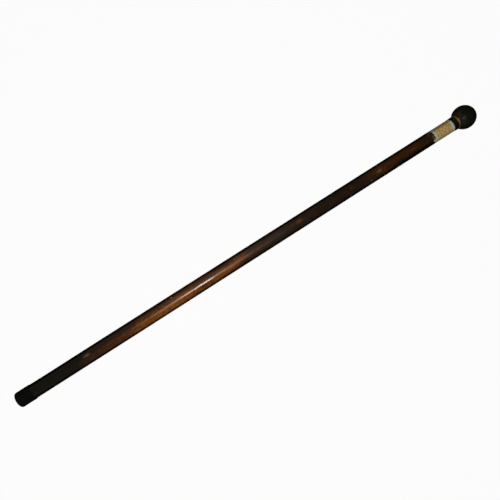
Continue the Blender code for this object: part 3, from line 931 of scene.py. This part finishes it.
def make_ball_knob():
    """The ball, with its bored seat and the small dents of long use."""
    radius = knob.radius * FLAT_SHARE
    centre = knob.head - knob.radius
    seat_radius = math.sqrt(knob.radius ** 2 - (centre - knob.foot) ** 2) * FLAT_SHARE
    seat_angle = -math.degrees(math.acos(seat_radius / radius))
    flange_depth = BUSH_FLANGE_THICKNESS + SEAT_GAP
    bore_radius = bush.radius - BUSH_FLANGE_WIDTH + SPIGOT_FIT
    bore_end = bush.head + SEAT_GAP
    outline = arc(0.0, centre, radius, 90, seat_angle, BALL_STEPS)
    outline += [(seat_radius - SMALL_EDGE, knob.foot), (knob.foot_bore, knob.foot),
                (knob.foot_bore, knob.foot + flange_depth),
                (bore_radius, knob.foot + flange_depth), (bore_radius, bore_end), (0.0, bore_end)]
    shape = turned(outline)
    middle = Vector((0.0, 0.0, centre))
    dents = []
    for index in range(KNOB_DENTS):
        turn = index * DENT_TURN
        height = DENT_LOWEST + DENT_SPAN * ((index * DENT_STEP) % 1.0)
        around = math.sqrt(1 - height * height)
        outwards = Vector((-around * math.cos(turn), -around * math.sin(turn), height))
        dents.append(middle + radius * outwards)
    for vertex in shape.verts:
        outwards = vertex.co - middle
        if outwards.length < radius * KNOB_SKIN:
            continue
        inwards = KNOB_WAVER * (0.5 + 0.5 * noise.noise(vertex.co / KNOB_WAVER_LENGTH))
        for dent in dents:
            reach = (vertex.co - dent).length / DENT_RADIUS
            inwards += DENT_DEPTH * max(0.0, 1 - reach * reach)
        vertex.co -= outwards.normalized() * inwards
    return finish_piece("ball_knob", shape, [black_polish()], "knob", "knob")


def cut_thread(shape, radius, start, end, inner=False):
    """Sink a right-hand thread into a turned wall between two stations."""
    for vertex in shape.verts:
        if abs(from_axis(vertex.co) - radius) > THREAD_NEAR:
            continue
        station = vertex.co.z
        fade = smooth_share(station, start, start + THREAD_RUNOUT)
        fade *= 1 - smooth_share(station, end - THREAD_RUNOUT, end)
        turns = math.atan2(vertex.co.y, vertex.co.x) / (2 * math.pi)
        phase = (station / thread_pitch - turns) % 1.0
        depth = THREAD_DEPTH * fade * (1 - abs(2 * phase - 1))
        push_out(vertex, depth if inner else -depth)


def make_brass_bush():
    """The threaded bush in the knob, with ribs that grip the wood."""
    body_radius = bush.radius - BUSH_FLANGE_WIDTH
    rib_pitch = (bush.head - bush.foot - BUSH_FLANGE_THICKNESS) / BUSH_RIBS
    outline = []
    for rib in reversed(range(BUSH_RIBS)):
        low = bush.foot + BUSH_FLANGE_THICKNESS + rib * rib_pitch
        outline += [(body_radius - BUSH_RIB_DEPTH, low + rib_pitch),
                    (body_radius, low + SMALL_EDGE)]
    flange_top = bush.foot + BUSH_FLANGE_THICKNESS
    outline += [(body_radius, flange_top), (bush.radius - SMALL_EDGE, flange_top),
                (bush.radius, flange_top - SMALL_EDGE), (bush.radius, bush.foot + SMALL_EDGE),
                (bush.radius - SMALL_EDGE, bush.foot)]
    outline += straight(bush.foot_bore, bush.foot, bush.head, thread_pitch / THREAD_RINGS)
    shape = turned(outline, SMALL_SIDES, closed=True)
    cut_thread(shape, bush.foot_bore, bush.foot, bush.head, inner=True)
    brass = machined_metal("Turned brass", colour(150, 112, 52), colour(196, 158, 86))
    return finish_piece("brass_bush", shape, [brass], "knob", "knob_insert")


def make_steel_stud():
    """The stud: a plain glued shank in the wood and a machine thread for the knob."""
    end_radius = stud.radius - STUD_CHAMFER
    outline = [(0.0, stud.head), (end_radius, stud.head)]
    outline += straight(stud.radius, stud.head - STUD_CHAMFER, stud.foot + STUD_CHAMFER,
                        thread_pitch / THREAD_RINGS)
    outline += [(end_radius, stud.foot), (0.0, stud.foot)]
    shape = turned(outline, SMALL_SIDES)
    cut_thread(shape, stud.radius, shaft.head, stud.head - STUD_CHAMFER)
    cut_thread(shape, stud.radius, stud.foot + STUD_CHAMFER, shaft.head - STUD_PLAIN)
    steel = machined_metal("Turned steel", colour(118, 118, 120), colour(170, 170, 172))
    return finish_piece("steel_stud", shape, [steel], "stick", "knob_stud")


def make_rubber_foot():
    """The slip-on tip, its ground edge worn a little out of round."""
    radius = tip.radius * FLAT_SHARE
    floor = disc.foot - SEAT_GAP
    outline = [(0.0, floor), (tip.head_bore, floor), (tip.head_bore, tip.head - TREAD_EDGE)]
    outline += [(tip.head_bore + TREAD_EDGE, tip.head)]
    outline += arc(radius - TIP_MOUTH_EDGE, tip.head - TIP_MOUTH_EDGE, TIP_MOUTH_EDGE, 90, 0, 6)
    outline += straight(radius, tip.head - 1.5 * TIP_MOUTH_EDGE, tip.foot + 1.2 * TIP_FOOT_EDGE,
                        TIP_RING_STEP)
    outline += arc(radius - TIP_FOOT_EDGE, tip.foot + TIP_FOOT_EDGE, TIP_FOOT_EDGE, 0, -90, 10)
    for groove in reversed(range(TREAD_GROOVES)):
        inner = TREAD_CENTRE_RADIUS + groove * TREAD_GROOVE_PITCH
        outer = inner + TREAD_GROOVE_WIDTH
        bed = tip.foot + TREAD_GROOVE_DEPTH
        outline += [(outer + TREAD_EDGE, tip.foot), (outer, tip.foot + TREAD_EDGE), (outer, bed)]
        outline += [(inner, bed), (inner, tip.foot + TREAD_EDGE), (inner - TREAD_EDGE, tip.foot)]
    outline += [(0.0, tip.foot)]
    shape = turned(outline)
    for vertex in shape.verts:
        if from_axis(vertex.co) < tip.head_bore + TIP_WALL:
            continue
        worn = 1 - smooth_share(vertex.co.z, tip.foot, tip.foot + TIP_WEAR_HEIGHT)
        stray = 0.5 - 0.5 * noise.noise(vertex.co / TIP_WAVER_LENGTH)
        push_out(vertex, -stray * (TIP_WAVER + worn * TIP_WEAR))
    return finish_piece("rubber_foot", shape, [black_rubber()], "foot",
                        "rubber_tip")


def make_foot_disc():
    """The steel disc on the floor of the rubber tip."""
    hole = DISC_HOLE_RADIUS
    bottom = disc.foot + SMALL_EDGE
    top = disc.head - SMALL_EDGE
    outline = [(disc.radius - SMALL_EDGE, disc.head), (disc.radius, top), (disc.radius, bottom),
               (disc.radius - SMALL_EDGE, disc.foot), (hole + SMALL_EDGE, disc.foot),
               (hole, bottom), (hole, top), (hole + SMALL_EDGE, disc.head)]
    steel = machined_metal("Disc steel", colour(110, 110, 112), colour(158, 158, 160))
    return finish_piece("foot_disc", turned(outline, SMALL_SIDES, closed=True), [steel],
                        "foot", "tip_disc")


# Stage

def make_floor():
    """A plain pale floor. To the camera and in reflections most of its white is its own."""
    shape = bmesh.new()
    bmesh.ops.create_grid(shape, x_segments=1, y_segments=1, size=FLOOR_SIZE / 2,
                          matrix=Matrix.Translation((0.0, 0.0, cad_low.z)))
    mesh = bpy.data.meshes.new("floor")
    shape.to_mesh(mesh)
    shape.free()
    pale = Finish("Pale floor", Roughness=0.9, Specular_IOR_Level=0.0,
                  Base_Color=colour(190, 190, 188))
    white = pale.add("ShaderNodeEmission", inputs={"Color": (1.0, 1.0, 1.0, 1.0)})
    both = pale.add("ShaderNodeMixShader", inputs={
        0: pale.seen() * FLOOR_OWN_WHITE, 1: Value(pale, pale.shader.outputs[0]), 2: white})
    output = pale.tree.nodes["Material Output"]
    pale.tree.links.new(both.socket, output.inputs["Surface"])
    mesh.materials.append(pale.material)
    floor = put("floor", mesh)


def point_at(thing, position, backwards, roll_up):
    """Place a camera or lamp so that it looks against one vector, with another as its up."""
    right = roll_up.cross(backwards).normalized()
    up = backwards.cross(right).normalized()
    placed = Matrix((right, up, backwards)).transposed().to_4x4()
    placed.translation = position
    thing.matrix_world = placed


def make_camera():
    """Look down on the cane from the photograph's place."""
    above = -downwards
    position = foot_end + axis * CAMERA_STATION + above * CAMERA_DISTANCE
    position += sideways * CAMERA_OFFSET
    backwards = (above * math.cos(CAMERA_LEAN) - axis * math.sin(CAMERA_LEAN)).normalized()
    along = sideways.cross(backwards)
    up = along * math.sin(CAMERA_ROLL) + sideways * math.cos(CAMERA_ROLL)
    data = bpy.data.cameras.new("camera")
    data.lens = LENS
    data.clip_start = 0.01
    camera = put("camera", data)
    point_at(camera, position, backwards, up)
    bpy.context.scene.camera = camera


def make_lamp(lamp):
    """A square lamp that points at the cane's axis, tilted round to the near side."""
    data = bpy.data.lights.new("lamp", "AREA")
    data.shape = "SQUARE"
    data.size = lamp.size
    data.energy = lamp.level * (math.pi * lamp.height) ** 2
    data.color = LAMP_COLOUR
    thing = put("lamp", data)
    thing.visible_glossy = lamp.mirrored
    over = -downwards * math.cos(lamp.turn) - sideways * math.sin(lamp.turn)
    position = foot_end + axis * lamp.station + over * lamp.height
    point_at(thing, position, over, axis)


def make_world():
    """Dim light all round, and a white backdrop for what shows it.

    The camera sees it everywhere, and a gloss only near the horizon.
    """
    world = bpy.data.worlds.new("studio")
    bpy.context.scene.world = world
    world.use_nodes = True
    sky = Nodes(world.node_tree)
    height = sky.split(sky.add("ShaderNodeTexCoord", output="Generated"))[2]
    camera = sky.add("ShaderNodeLightPath", output="Is Camera Ray")
    low = 1 - sky.soft_step(height, HORIZON_TOP, SKY_START)
    shown = sky.calculate("MAXIMUM", camera, low * sky.seen())
    level = SKY_LEVEL + (BACKDROP_LEVEL - SKY_LEVEL) * shown
    background = world.node_tree.nodes["Background"]
    background.inputs["Color"].default_value = (1.0, 1.0, 1.0, 1.0)
    world.node_tree.links.new(level.socket, background.inputs["Strength"])


make_stick()
make_paper_wrap()
make_black_collar()
make_steel_stud()
make_leather_ring()
make_ball_knob()
make_brass_bush()
make_rubber_foot()
make_foot_disc()
make_floor()
make_camera()
make_lamp(SOFT_LAMP)
make_lamp(CAMERA_LAMP)
make_world()
bpy.context.scene.view_settings.view_transform = "Standard"
